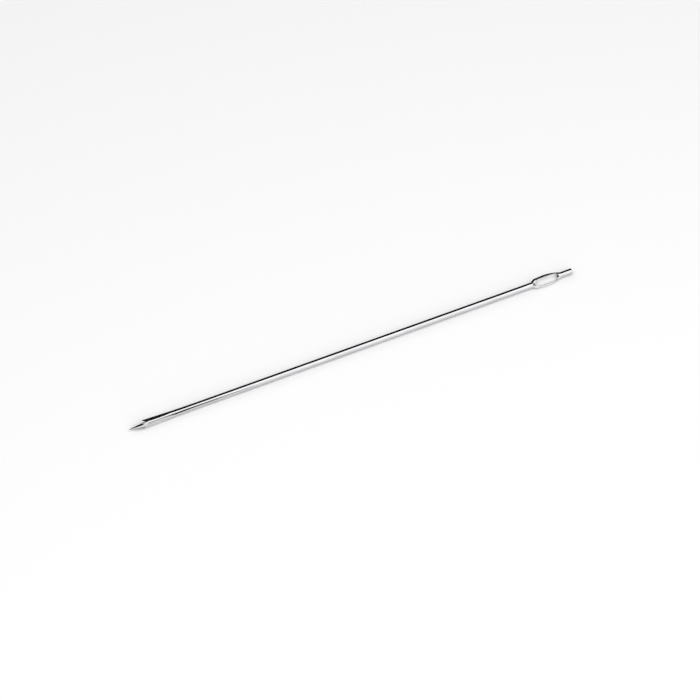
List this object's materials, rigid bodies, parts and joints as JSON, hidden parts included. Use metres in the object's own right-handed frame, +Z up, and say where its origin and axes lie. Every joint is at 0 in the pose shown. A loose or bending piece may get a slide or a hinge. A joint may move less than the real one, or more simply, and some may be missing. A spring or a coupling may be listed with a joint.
{
  "type": "trussing needle",
  "caption": "Straight round steel trussing needle with a faceted lance point and a flattened oval eye.",
  "frame": {"origin": "on the surface the needle lies on, below the middle of its length", "axes": "+X along the needle from its point to its tail, +Z up from the surface"},
  "size_m": [0.2, 0.0046, 0.0026],
  "materials": {
    "steel": "polished"
  },
  "bodies": {
    "root": {"needle": "steel"}
  },
  "joints": []
}
